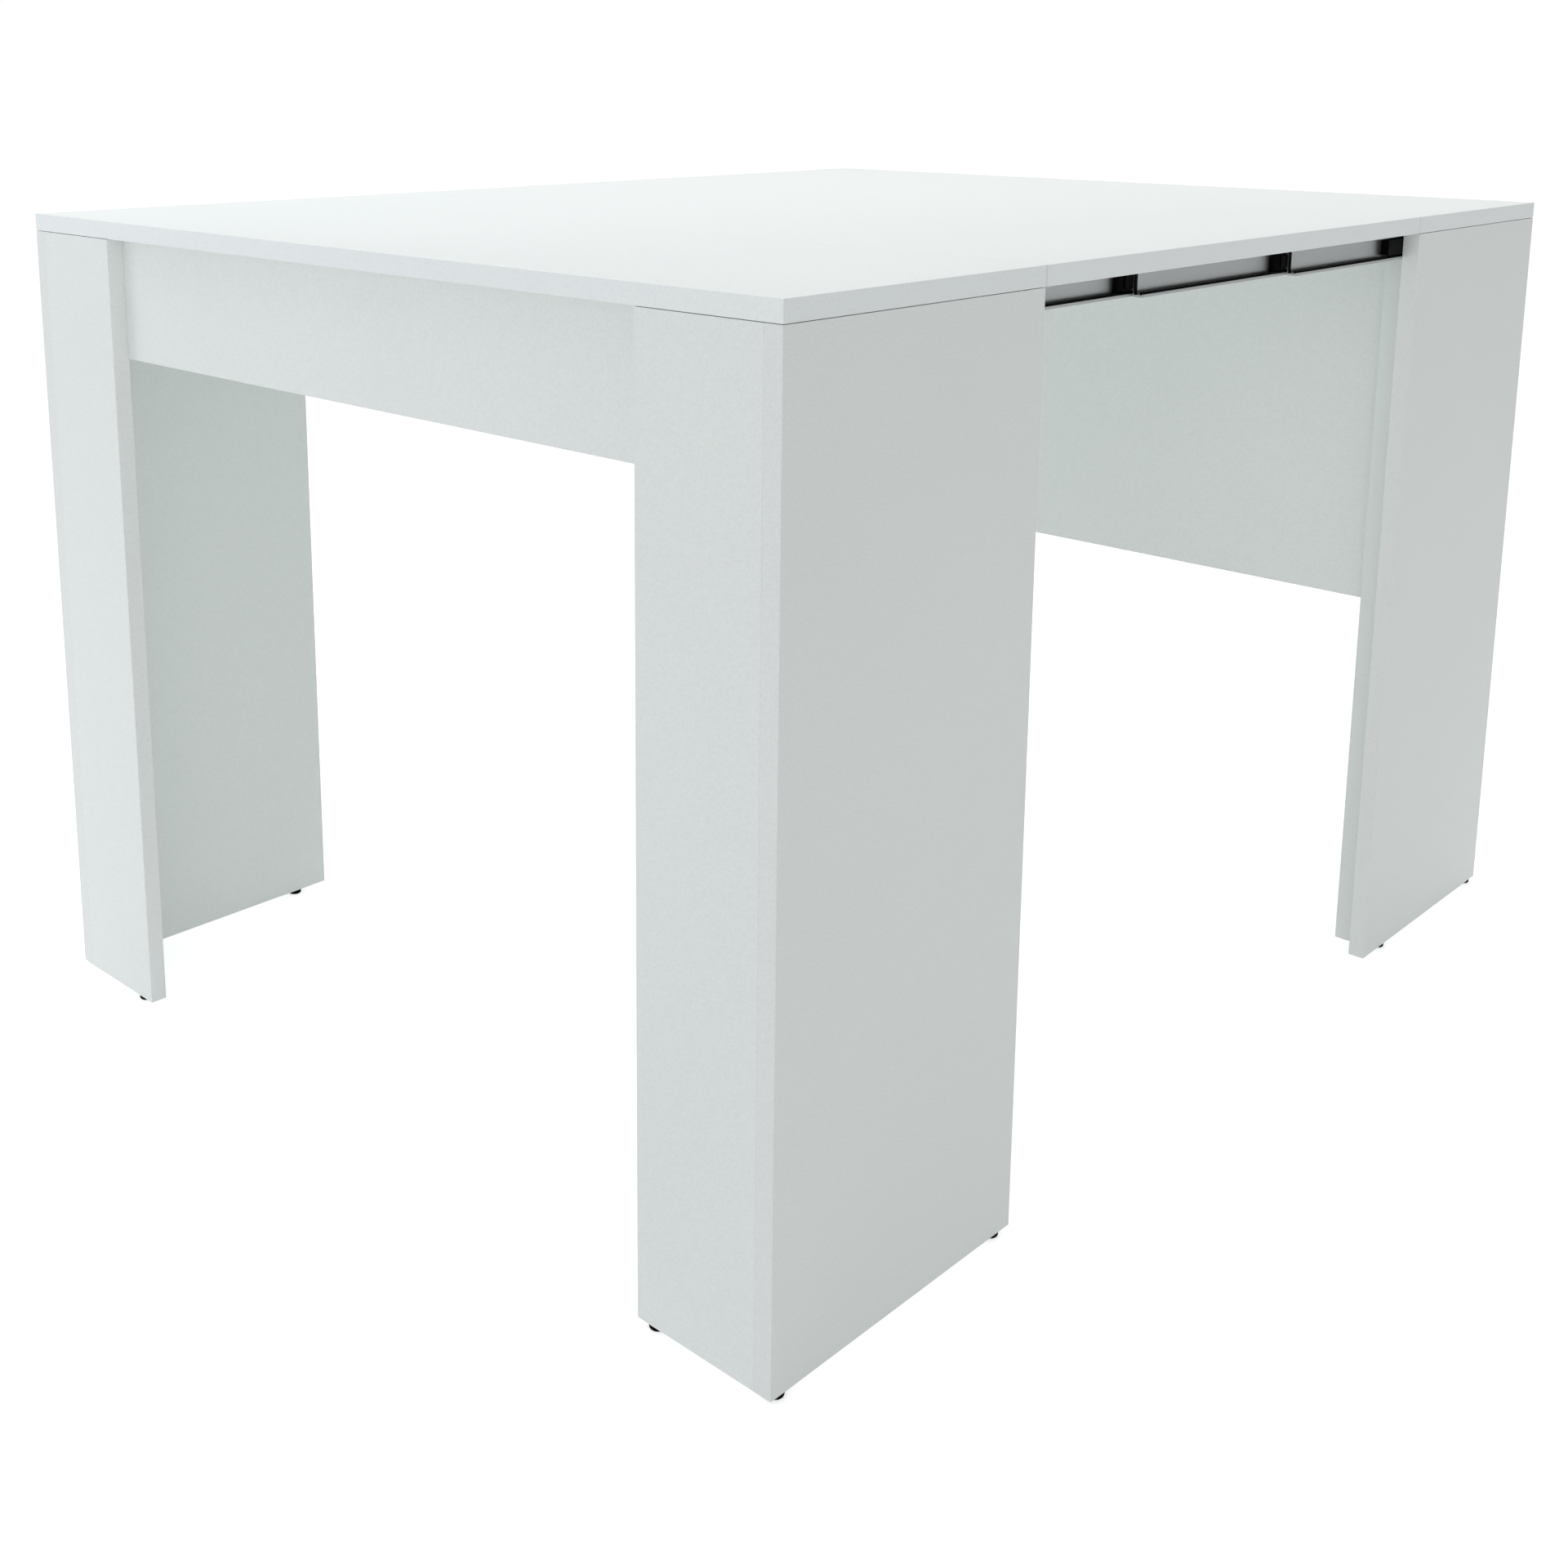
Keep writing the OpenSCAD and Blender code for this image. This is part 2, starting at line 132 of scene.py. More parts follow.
def noise(tree, place, size_mm, detail=2.0, stretch=(1, 1, 1)):
    """Noise whose blobs are size_mm across, drawn out along an axis by its stretch."""
    per_metre = 1000 / size_mm
    where = add(tree, "Mapping", {"Vector": place, "Scale": [per_metre / s for s in stretch]})
    return add(tree, "TexNoise", {"Vector": where, "Scale": 1.0, "Detail": detail})


def between(tree, factor, low, high):
    """Maps a factor of 0 to 1 onto low to high."""
    return add(tree, "MapRange", {"Value": factor, "To Min": low, "To Max": high})


def bump(tree, shader, height, depth_mm, strength=1.0):
    tree.links.new(add(tree, "Bump", {"Height": height, "Distance": depth_mm * MM,
                                      "Strength": strength}).outputs[0],
                   shader.inputs["Normal"])


FACE_WHITE = "#EFF4F2"
BAND_WHITE = "#EDF0EF"
# Painted light: the banded edges of the tops and leaf are painted a lighter white than the other
# boards' bands
TOP_BAND_LIT_WHITE = "#F5FAFA"
CHIP_LIGHT = "#C2A077"
CHIP_DARK = "#8A673F"
# Chips, in mm across
CHIP_MM = 3.0
# The foil's pearl emboss is about 0.4 mm; it is drawn at 1.8 mm so that it shows
PEARL_MM = 1.8
# Less deep than this, in mm, a point lies in the foil or the edge banding
SKIN = 0.4
# Painted shade of the gap where the tops meet the leaf: its tone, and its reach to each side of
# the joint in mm
JOINT_SHADE_TONE, JOINT_SHADE_REACH = 0.87, 0.9


def melamine_board(node):
    """White melamine-faced particle board for one CAD board. The face foil is satin with a
    fine pearl emboss, the banded edges are smoother, and the walls of bores and notches, which
    lie deeper inside the board's box than its eased edges, show the raw chips.
    """
    lo, hi = (np.array(c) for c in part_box(node))
    thin = int(np.argmin(hi - lo))
    material, tree, shader = new_material("melamine_board_" + node)
    place = coordinates(tree)
    off = add(tree, "VectorMath", {0: place, 1: (lo + hi) / 2}, operation="SUBTRACT")
    off = add(tree, "VectorMath", {0: off}, operation="ABSOLUTE")
    depth = add(tree, "VectorMath", {0: (hi - lo) / 2, 1: off}, operation="SUBTRACT")
    depth = add(tree, "SeparateXYZ", {0: depth}).outputs
    sides = [depth[i] for i in range(3) if i != thin]
    to_edge = add(tree, "Math", {0: sides[0], 1: sides[1]}, operation="MINIMUM")
    inside = add(tree, "Math", {0: to_edge, 1: depth[thin]}, operation="MINIMUM")
    raw = add(tree, "Math", {0: inside, 1: SKIN * MM}, operation="GREATER_THAN")
    band = add(tree, "Math", {0: to_edge, 1: SKIN * MM}, operation="LESS_THAN")

    # Broad, faint clouding, as white foil over board shows under soft light
    cloud = noise(tree, place, 170, 1.0)
    pearl = noise(tree, place, PEARL_MM, 1.0)
    grain = noise(tree, place, 14, 3.0)
    tone = add(tree, "Math", {0: between(tree, cloud, 0.985, 1.01),
                              1: between(tree, pearl, 0.93, 1.06)}, operation="MULTIPLY")
    on_top = node.endswith("_top") or node == "leaf"
    # The tops' and leaf's bands take the lighter white, painted light on the top's edges
    banding = TOP_BAND_LIT_WHITE if on_top else BAND_WHITE
    if on_top:
        # The side bands darken in a thin line of painted shade where the tops meet the leaf,
        # standing for the shade in the gap between the boards
        away = add(tree, "Math", {0: add(tree, "SeparateXYZ", {0: place}).outputs[1]},
                   operation="ABSOLUTE")
        painted_joint_shade = add(tree, "Math", {0: away, 1: JOINT_Y * MM, 2: JOINT_SHADE_REACH * MM},
                   operation="COMPARE")
        painted_joint_shade = add(tree, "Math", {0: painted_joint_shade, 1: band}, operation="MULTIPLY")
        tone = add(tree, "Math", {0: tone, 1: between(tree, painted_joint_shade, 1.0, JOINT_SHADE_TONE)},
                   operation="MULTIPLY")
    face = add(tree, "Mix", {"Factor": band, 6: linear(FACE_WHITE), 7: linear(banding)},
               data_type="RGBA")
    face = add(tree, "VectorMath", {0: face.outputs[2], "Scale": tone}, operation="SCALE")
    # Chips, seen on the walls of bores and in the rail notches
    chips = add(tree, "TexVoronoi", {"Vector": place, "Scale": 1000 / CHIP_MM})
    chip = add(tree, "Mix", {"Factor": chips.outputs["Distance"], 6: linear(CHIP_LIGHT),
                             7: linear(CHIP_DARK)}, data_type="RGBA")
    colour = add(tree, "Mix", {"Factor": raw, 6: face, 7: chip.outputs[2]}, data_type="RGBA")
    tree.links.new(colour.outputs[2], shader.inputs["Base Color"])

    satin = between(tree, grain, 0.36, 0.46)
    smooth = add(tree, "Mix", {"Factor": band, 2: satin, 3: 0.34})
    rough = add(tree, "Mix", {"Factor": raw, 2: smooth, 3: 0.85})
    tree.links.new(rough.outputs[0], shader.inputs["Roughness"])
    bump(tree, shader, pearl, 0.02, 0.6)
    return material


def anodised_aluminium():
    """Extruded 6060 aluminium, satin anodised: a soft grey metal with fine die lines along the
    rail, which the light smears across."""
    material, tree, shader = new_material("anodised_aluminium", Metallic=1.0)
    place = coordinates(tree)
    lines = noise(tree, place, 0.35, 2.0, (1, 160, 1))
    cloud = noise(tree, place, 60, 1.0, (1, 6, 1))
    tone = add(tree, "Mix", {"Factor": cloud, 6: linear("#BEC2C2"), 7: linear("#C9CDCD")},
               data_type="RGBA")
    tree.links.new(tone.outputs[2], shader.inputs["Base Color"])
    tree.links.new(between(tree, lines, 0.30, 0.44).outputs[0], shader.inputs["Roughness"])
    bump(tree, shader, lines, 0.01, 0.5)
    return material


def zinc_plated_steel():
    """Bright zinc on pressed and turned steel: a bluish metal with a faint yellow cast where
    the passivation is thicker, and small crystals."""
    material, tree, shader = new_material("zinc_plated_steel", Metallic=1.0)
    place = coordinates(tree)
    cast = noise(tree, place, 9, 2.0)
    crystals = noise(tree, place, 0.5, 2.0)
    tone = add(tree, "Mix", {"Factor": cast, 6: linear("#B7BCC2"), 7: linear("#C5C2B2")},
               data_type="RGBA")
    tree.links.new(tone.outputs[2], shader.inputs["Base Color"])
    tree.links.new(between(tree, crystals, 0.26, 0.46).outputs[0], shader.inputs["Roughness"])
    bump(tree, shader, crystals, 0.01, 0.4)
    return material


def zinc_casting():
    """Die-cast zinc cams: duller and greyer than plating, with the fine grain of the mould."""
    material, tree, shader = new_material("zinc_casting", Metallic=1.0)
    grain = noise(tree, coordinates(tree), 0.7, 3.0)
    tone = add(tree, "Mix", {"Factor": grain, 6: linear("#9A9DA0"), 7: linear("#B0B2B3")},
               data_type="RGBA")
    tree.links.new(tone.outputs[2], shader.inputs["Base Color"])
    tree.links.new(between(tree, grain, 0.42, 0.58).outputs[0], shader.inputs["Roughness"])
    bump(tree, shader, grain, 0.02, 0.5)
    return material


def black_nylon():
    """Black nylon, moulded with a spark-eroded texture: nearly matt, a little worn where it
    slides."""
    material, tree, shader = new_material("black_nylon", Specular_IOR_Level=0.05)
    place = coordinates(tree)
    spark = noise(tree, place, 0.4, 2.0)
    wear = noise(tree, place, 6, 2.0, (1, 4, 1))
    tone = add(tree, "Mix", {"Factor": wear, 6: linear("#030304"), 7: linear("#070708")},
               data_type="RGBA")
    tree.links.new(tone.outputs[2], shader.inputs["Base Color"])
    tree.links.new(between(tree, wear, 0.42, 0.62).outputs[0], shader.inputs["Roughness"])
    bump(tree, shader, spark, 0.02, 0.5)
    return material


def beech():
    """Raw beech dowel: pale pinkish brown, fine straight grain with short darker flecks."""
    material, tree, shader = new_material("beech")
    place = coordinates(tree)
    grain = noise(tree, place, 0.8, 3.0, (1, 1, 12))
    tone = add(tree, "Mix", {"Factor": grain, 6: linear("#B98A58"), 7: linear("#D6AE7C")},
               data_type="RGBA")
    tree.links.new(tone.outputs[2], shader.inputs["Base Color"])
    tree.links.new(between(tree, grain, 0.6, 0.75).outputs[0], shader.inputs["Roughness"])
    bump(tree, shader, grain, 0.05, 0.5)
    return material


ALUMINIUM = anodised_aluminium()
ZINC = zinc_plated_steel()
CAST = zinc_casting()
NYLON = black_nylon()
BEECH = beech()
BY_SLOT = {"anodised_aluminium": ALUMINIUM, "zinc_plated_steel": ZINC,
           "black_plastic": NYLON, "beech": BEECH}


def finish_cad_nodes():
    """Gives each CAD node the finish of its slot in the record."""
    for part in frame["record"]["subparts"]:
        node, slot = part["node"], part["material_slot"]
        material = BY_SLOT.get(slot) or melamine_board(node)
        mesh = NODES[node].data
        mesh.materials.clear()
        mesh.materials.append(material)


# Shapes. Each is (points, faces): an N x 3 array in mm, and a list of faces by point number.

def grid(rings):
    """Closes a stack of rings into a skin. rings is an M x N x 3 array: M rings of N points,
    each ring joined to the next by quads and closed round, with the first and last rings
    drawn to their own middles."""
    m, n = rings.shape[:2]
    middles = rings[[0, -1]].mean(axis=1)
    points = np.concatenate([rings.reshape(-1, 3), middles])
    i, j = np.meshgrid(np.arange(m - 1), np.arange(n), indexing="ij")
    a, b = i * n + j, i * n + (j + 1) % n
    quads = np.stack([a, b, b + n, a + n], axis=-1).reshape(-1, 4)
    k = np.arange(n)
    first = np.stack([np.full(n, m * n), (k + 1) % n, k], axis=-1)
    last = np.stack([np.full(n, m * n + 1), (m - 1) * n + k, (m - 1) * n + (k + 1) % n], axis=-1)
    return points, quads.tolist() + first.tolist() + last.tolist()


def turned(profile, around=40):
    """A surface of revolution about Z: each (radius, height) of the profile becomes a ring
    radius * (cos t, sin t) at that height. The profile runs from the foot to the top."""
    r, z = np.array(profile, float).T
    t = np.arange(around) * 2 * np.pi / around
    ring = np.stack([np.cos(t), np.sin(t), np.zeros(around)], axis=-1)
    rings = r[:, None, None] * ring[None] + z[:, None, None] * np.array([0, 0, 1.0])
    return grid(rings)


def cross_angles(arm, half_width):
    """Angles round a head that fall on the corners of its cross recess and even out its rim."""
    edge = np.arcsin(half_width / arm)
    fold = np.concatenate([np.linspace(-np.pi / 4, -edge, 4, endpoint=False),
                           np.linspace(-edge, edge, 4, endpoint=False),
                           np.linspace(edge, np.pi / 4, 3, endpoint=False)])
    return fold, (np.arange(4)[:, None] * np.pi / 2 + fold).ravel()


def cross_head(radius, top, foot, arm, half_width, depth, ease, shank=()):
    """A round head with a cross recess, its face at +Z. The recess outline is, at each angle,
    the lesser of the arm's length and half_width / sin(angle off the arm); its floor is the
    same outline drawn in to 0.55. Outside it, the face domes down to the rim by a quarter
    sine, eases over, and goes down to the foot and then along the shank's profile."""
    fold, t = cross_angles(arm, half_width)
    sine = np.maximum(np.abs(np.sin(fold)), 1e-9)
    outline = np.tile(np.minimum(arm, half_width / sine), 4)
    rows = [(0.55 * outline, top - depth), (outline, top)]
    dome = 0.12 * radius if shank else 0.0
    for s in (0.35, 0.7, 1.0):
        r = outline + (radius - ease - outline) * s
        rows.append((r, top - dome * (1 - math.cos(s * math.pi / 2))))
    rows.append((np.full_like(t, radius), top - dome - ease))
    rows.append((np.full_like(t, radius), foot))
    rows += [(np.full_like(t, r), z) for r, z in shank]
    ring = np.stack([np.cos(t), np.sin(t), np.zeros_like(t)], axis=-1)
    rings = np.array([r[:, None] * ring + (0, 0, z) for r, z in rows])
    return grid(rings[::-1])


def eased(corners, radius, steps=3):
    """A polygon whose corners are replaced by quadratic curves: from radius before the corner,
    pulled towards it, to radius after it."""
    p = np.array(corners, float)
    before, after = np.roll(p, 1, axis=0) - p, np.roll(p, -1, axis=0) - p
    lb, la = (np.linalg.norm(v, axis=1, keepdims=True) for v in (before, after))
    r = np.minimum(radius, 0.45 * np.minimum(lb, la))
    start, end = p + before / lb * r, p + after / la * r
    s = np.linspace(0, 1, steps + 1)[None, :, None]
    curve = (1 - s) ** 2 * start[:, None] + 2 * s * (1 - s) * p[:, None] + s ** 2 * end[:, None]
    return curve.reshape(-1, 2)


def swept(outline, y0, y1, ease=0.4):
    """An outline in X and Z carried along Y from y0 to y1, its ends eased: there the outline
    is drawn in to its middle by the ease."""
    o = np.array(outline, float)
    middle = (o.min(axis=0) + o.max(axis=0)) / 2
    reach = np.maximum(np.abs(o - middle).max(axis=0), 1e-6)
    small = middle + (o - middle) * (1 - ease / reach)
    rings = [(small, y0), (o, y0 + ease), (o, y1 - ease), (small, y1)]
    return grid(np.array([np.column_stack([f[:, 0], np.full(len(f), y), f[:, 1]])
                          for f, y in rings]))


def rounded_nose(outline, y0, y1, radius, steps=6):
    """An outline in X and Z carried along Y from y0 to y1, its outer side rounded at y0: there
    X is cut to a quarter circle, at most the outline's widest - radius * (1 - sin t) at
    y0 + radius * (1 - cos t)."""
    o = np.array(outline, float)
    t = np.linspace(0, np.pi / 2, steps + 1)
    widest = o[:, 0].max() - radius * (1 - np.sin(t))
    ys = y0 + radius * (1 - np.cos(t))
    rings = [np.column_stack([np.minimum(o[:, 0], x), np.full(len(o), y), o[:, 1]])
             for x, y in zip(widest, ys)]
    rings.append(np.column_stack([o[:, 0], np.full(len(o), y1), o[:, 1]]))
    return grid(np.array(rings))


def rectangle(x0, x1, z0, z1):
    return [(x0, z0), (x0, z1), (x1, z1), (x1, z0)]


def aim(axis):
    """The rotation that turns +Z to the axis."""
    z = np.array(axis, float)
    x = np.cross((0, 1, 0) if abs(z[1]) < 0.5 else (0, 0, 1), z)
    x /= np.linalg.norm(x)
    return np.column_stack([x, np.cross(z, x), z])


def placed(shape, spots):
    """Copies of a shape with its +Z along each spot's axis and its origin at its place."""
    points, faces = shape
    return [(points @ aim(axis).T + np.array(place), faces) for place, axis in spots]


def other_side(spots):
    """The same spots on the left."""
    return [((-p[0], p[1], p[2]), (-a[0], a[1], a[2])) for p, a in spots]


def both_sides(spots):
    return spots + other_side(spots)


def near(spots):
    """Spots of a half, given from its outer end, at the near end of the table."""
    return [((p[0], p[1] - END_Y, p[2]), a) for p, a in spots]


def far(spots):
    """The same at the far end, which faces the other way."""
    return [((p[0], END_Y - p[1], p[2]), (a[0], -a[1], a[2])) for p, a in spots]


def mirrored(shape):
    """A shape's left-hand twin, its faces turned so that they still point outwards."""
    points, faces = shape
    return points * (-1, 1, 1), [f[::-1] for f in faces]


# Edges that turn by more than this, in degrees, stay sharp
SHARP_FROM = 35


def piece(name, shapes, material, body, slot, *stands_for):
    """Joins shapes into one object that rides on a body and stands for CAD nodes."""
    points, faces, start = [], [], 0
    for p, f in shapes:
        points.append(p)
        faces += [[start + k for k in face] for face in f]
        start += len(p)
    mesh = bpy.data.meshes.new(name)
    mesh.from_pydata((np.concatenate(points) * MM).tolist(), [], faces)
    mesh.materials.append(material)
    mesh.update()
    mesh.shade_smooth()
    mesh.set_sharp_from_angle(angle=math.radians(SHARP_FROM))
    obj = bpy.data.objects.new(name, mesh)
    bpy.context.scene.collection.objects.link(obj)
    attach(obj, body)
    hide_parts(*stands_for)
    return obj


# Floor glides

UP, DOWN = (0, 0, 1), (0, 0, -1)
IN_Y, OUT_Y = (0, 1, 0), (0, -1, 0)

# A nailed glide 13 mm across: flat tread, rounded bead, a waist under the flange, and its pin
GLIDE = turned([(0.6, 0), (4.9, 0), (5.7, 0.2), (6.2, 0.7), (6.45, 1.5), (6.5, 2.3),
                (6.4, 3.0), (6.15, 3.3), (6.15, 3.6), (6.4, 3.8), (6.5, 4.1), (6.5, 5.0),
                (1.5, 5.0), (1.5, 13.0), (0.6, 15.0)], 48)


def glide_spots(corner, back, inset):
    """Places of the three glides under the right side of a half, from its outer end."""
    return [((x, y, 0.0), UP) for x, y in ((HALF_W - LEG_W + inset, BOARD / 2),
                                           (HALF_W - BOARD / 2, corner),
                                           (HALF_W - BOARD / 2, SIDE_L - back))]


def floor_glides():
    right, left = glide_spots(13.0, 14.0, 13.0), other_side(glide_spots(13.0, 33.0, 22.0))
    piece("near_glide_feet", placed(GLIDE, near(right + left)),
          NYLON, "near_half", "black_plastic", "near_floor_glides")
    piece("far_glide_feet", placed(GLIDE, far(both_sides(glide_spots(11.0, 48.0, 13.0)))),
          NYLON, "far_half", "black_plastic", "far_floor_glides")


# Cams and screws

# A cam: a cast disc 15 mm across and 11 mm deep, flush with the board, with a cross recess
CAM = cross_head(7.5, 0.0, -11.0, 4.2, 1.0, 3.0, 0.35)


def cams():
    own = [((INNER_W - CAM_REACH, BOARD, GLIDE_H + z), IN_Y) for z in CAM_ZS]
    own.append(((INNER_W - CAM_REACH, 2 * BOARD, TOP_Z - APRON_CAM_Z), IN_Y))
    cross = [((INNER_W - CAM_REACH, CROSS_FACE, z), OUT_Y)
             for z in (TOP_Z - CROSS_CAM_IN, TOP_Z - CROSS_H + CROSS_CAM_IN)]
    piece("near_cam_discs", placed(CAM, near(both_sides(own))),
          CAST, "near_half", "zinc_plated_steel", "near_cams")
    piece("far_cam_discs", placed(CAM, far(both_sides(own + cross))),
          CAST, "far_half", "zinc_plated_steel", "far_cams")


def pan_screw(length, plain=1.0):
    """A pan-head screw with its head's foot at the origin and its face at +Z. Its shank is a
    row of ridges 1.6 mm apart, then a point."""
    ridges = np.arange(plain + 0.8, length - 1.6, 0.8)
    radii = np.where(np.arange(len(ridges)) % 2 == 0, 1.75, 1.3)
    shank = [(1.5, 0.0), (1.5, -plain)] + [(r, -z) for r, z in zip(radii, ridges)]
    return cross_head(3.5, 2.2, 0.0, 2.1, 0.55, 1.3, 0.4, shank + [(0.3, -length + 0.05)])


def bracket_screw_spots(corner, into):
    """Screws of the brackets in one corner: up into the top, and into the board at the
    corner. Each is at the bracket's face, its head's axis pointing out of the board."""
    step = -into * BRACKET_HOLE
    return [((x, corner + step, TOP_Z - BRACKET_T), DOWN) for x in BRACKET_XS] \
        + [((x, corner - into * BRACKET_T, TOP_Z - BRACKET_HOLE), (0, -into, 0))
           for x in BRACKET_XS]


def screws():
    short = pan_screw(13.0)
    machine = pan_screw(3.8, 2.0)
    post = pan_screw(26.0, 8.0)
    web = pan_screw(20.0, 4.0)
    first_rail = INNER_W - (RAIL_COUNT - 1) * RAIL_PITCH - RAIL_D
    apron = bracket_screw_spots(2 * BOARD, -1)
    rail_up = [((first_rail - BRACKET_HOLE, y, TOP_Z - BRACKET_T), DOWN) for y in BRACKET_YS]
    rail_in = [((first_rail - BRACKET_T, y, TOP_Z - BRACKET_HOLE), (-1, 0, 0))
               for y in BRACKET_YS]
    piece("near_screw_set",
          placed(short, near(apron + both_sides(rail_up)))
          + placed(machine, near(both_sides(rail_in))),
          ZINC, "near_half", "zinc_plated_steel", "near_screws")
    cross = bracket_screw_spots(CROSS_FACE, 1)
    posts = [((INNER_W - POST_W / 2, CROSS_FACE, z), OUT_Y)
             for z in (TOP_Z - CROSS_CAM_IN - 45.0, TOP_Z - CROSS_H + 22.5)]
    webs = [((INNER_W - RAIL_D, y, RAIL_Z + RAIL_H / 2), (-1, 0, 0)) for y in RAIL_SCREW_YS]
    piece("far_screw_set",
          placed(short, far(apron + cross)) + placed(post, far(both_sides(posts)))
          + placed(web, far(both_sides(webs))),
          ZINC, "far_half", "zinc_plated_steel", "far_screws")


finish_cad_nodes()
floor_glides()
cams()
screws()


# Slides of the rails

# The strips are 0.8 mm lower and the noses 2.5 mm shorter than in the CAD model, after the
# photograph, and the clips are made here alone
STRIP_X, STRIP_W, STRIP_H = 5.8, 1.8, 2.2
HEAD_X, HEAD_T, NECK_Z, NECK_T = 3.5, 2.0, 5.1, 1.6
NOSE_L, NOSE_R, PLUG_L = 16.0, 5.0, 15.0
CLIP_L, CLIP_T, CLIP_FRONT = 2.5, 0.25, 0.5
STOP_IN, STOP_L, SLIDE_GAP = 70.0, 12.0, 0.3


def rail_x(k):
    return INNER_W - (RAIL_COUNT - k) * RAIL_PITCH - RAIL_D


def rail_y(k):
    return RAIL_Y0 + DRAWN[k - 1] * RAIL_SPAN


def pair(*shapes):
    """The shapes on the right side and their twins on the left."""
    return list(shapes) + [mirrored(s) for s in shapes]


def strip(k):
    """The black strip along a rail's lower edge, with a shallow groove in its face."""
    x, z = rail_x(k) + STRIP_X, RAIL_Z + RAIL_WALL
    w, h = STRIP_W, STRIP_H
    face = [(0, 0), (0, h), (w - 0.25, h), (w, h - 0.5), (w, 0.65 * h), (w - 0.3, 0.55 * h),
            (w - 0.3, 0.4 * h), (w, 0.3 * h), (w, 0)]
    return swept(eased([(x + a, z + b) for a, b in face], 0.15, 2),
                 rail_y(k), rail_y(k) + RAIL_L, 0.15)


def end_glide(k):
    """The glide at a rail's near end: a T that fills the channel of the rail inside it, rounded
    where it leads, a plug in the rail's hollow back, and a thin clip round the outer half of
    the web's end."""
    x, y = rail_x(k) - RAIL_PITCH, rail_y(k) - NOSE_L
    z0, z1 = RAIL_Z + RAIL_WALL + SLIDE_GAP, RAIL_Z + RAIL_H - RAIL_WALL - SLIDE_GAP
    n0, n1 = RAIL_Z + NECK_Z, RAIL_Z + RAIL_H - NECK_Z
    x0, x1, x2 = x + RAIL_WALL + SLIDE_GAP, x + HEAD_X + HEAD_T, x + RAIL_D
    tee = [(x0, z0), (x0, z1), (x1, z1), (x1, n1), (x2, n1), (x2, n0), (x1, n0), (x1, z0)]
    p0, p1 = n0 + NECK_T + 0.05, n1 - NECK_T - 0.05
    plug = rectangle(x1 + 0.05, x + RAIL_PITCH - 0.05, p0, p1)
    c0, c1 = RAIL_Z + RAIL_WALL, RAIL_Z + RAIL_H - RAIL_WALL
    web, end = rail_x(k) + RAIL_WALL + 0.02, rail_y(k) - 0.02
    leg = rectangle(web, web + CLIP_T, c0, c1)
    front = rectangle(web - RAIL_WALL / 2, web + CLIP_T, c0, c1)
    return (rounded_nose(eased(tee, 0.4), y, y + NOSE_L, NOSE_R),
            swept(eased(plug, 0.3), y + NOSE_R, y + NOSE_L + PLUG_L, 0.3),
            swept(leg, end - CLIP_FRONT / 2, end + CLIP_L, 0.05),
            swept(front, end - CLIP_FRONT, end, 0.05))


def stop(k):
    """The pad in a rail's channel that the next rail's glide meets."""
    x = rail_x(k) + RAIL_WALL
    y = rail_y(k) + RAIL_L - STOP_IN
    pad = rectangle(x, x + HEAD_X - RAIL_WALL - SLIDE_GAP, RAIL_Z + RAIL_WALL,
                    RAIL_Z + RAIL_H - RAIL_WALL)
    return swept(eased(pad, 0.5), y, y + STOP_L, 0.4)


def slides():
    body = {1: "near_half", 6: "far_half", **{k: f"rails_{k}" for k in range(2, 6)}}
    for k in range(1, 7):
        piece(f"slide_strip_pair_{k}", pair(strip(k)), NYLON, body[k], "black_plastic",
              f"slide_strips_{k}")
        if k > 1:
            piece(f"end_glide_pair_{k}", pair(*end_glide(k)), NYLON, body[k],
                  "black_plastic", f"end_glides_{k}")
        if k < 6:
            piece(f"travel_stop_pair_{k}", pair(stop(k)), NYLON, body[k], "black_plastic",
                  f"travel_stops_{k}")


slides()


# Floor, light and camera

def studio_floor():
    """A pale seamless floor. It glows a little, and more when the camera looks at it, so that
    it comes out white, without a shadow."""
    material, tree, shader = new_material("studio_floor", Roughness=0.9,
                                          Specular_IOR_Level=0.0)
    shade = noise(tree, coordinates(tree), 900, 1.0)
    tone = add(tree, "Mix", {"Factor": shade, 6: linear("#F4F5F5"), 7: linear("#F7F8F8")},
               data_type="RGBA")
    tree.links.new(tone.outputs[2], shader.inputs["Base Color"])
    shader.inputs["Emission Color"].default_value = (1, 1, 1, 1)
    seen = add(tree, "LightPath").outputs["Is Camera Ray"]
    tree.links.new(between(tree, seen, *FLOOR_GLOW).outputs[0],
                   shader.inputs["Emission Strength"])
    mesh = bpy.data.meshes.new("studio_floor")
    reach = 30.0
    mesh.from_pydata([(-reach, -reach, 0), (reach, -reach, 0), (reach, reach, 0),
                      (-reach, reach, 0)], [], [(0, 1, 2, 3)])
    mesh.materials.append(material)
    floor = bpy.data.objects.new("studio_floor", mesh)
    bpy.context.scene.collection.objects.link(floor)


# Each pair is what lights the table, then what the camera sees
FLOOR_GLOW = (0.2, 0.58)
SKY = (0.155, 1.0)
# Soft suns: name, azimuth and elevation that the light comes from, spread, strength. Azimuth 0
# is in front of the table, 90 on its right.
SUNS = [
    ("above", 0, 88, 90, 0.16),
    ("front", -10, 20, 80, 0.28),
    ("front_right", 50, 25, 80, 0.81),
    ("back_left", -150, 25, 80, 1.07),
]
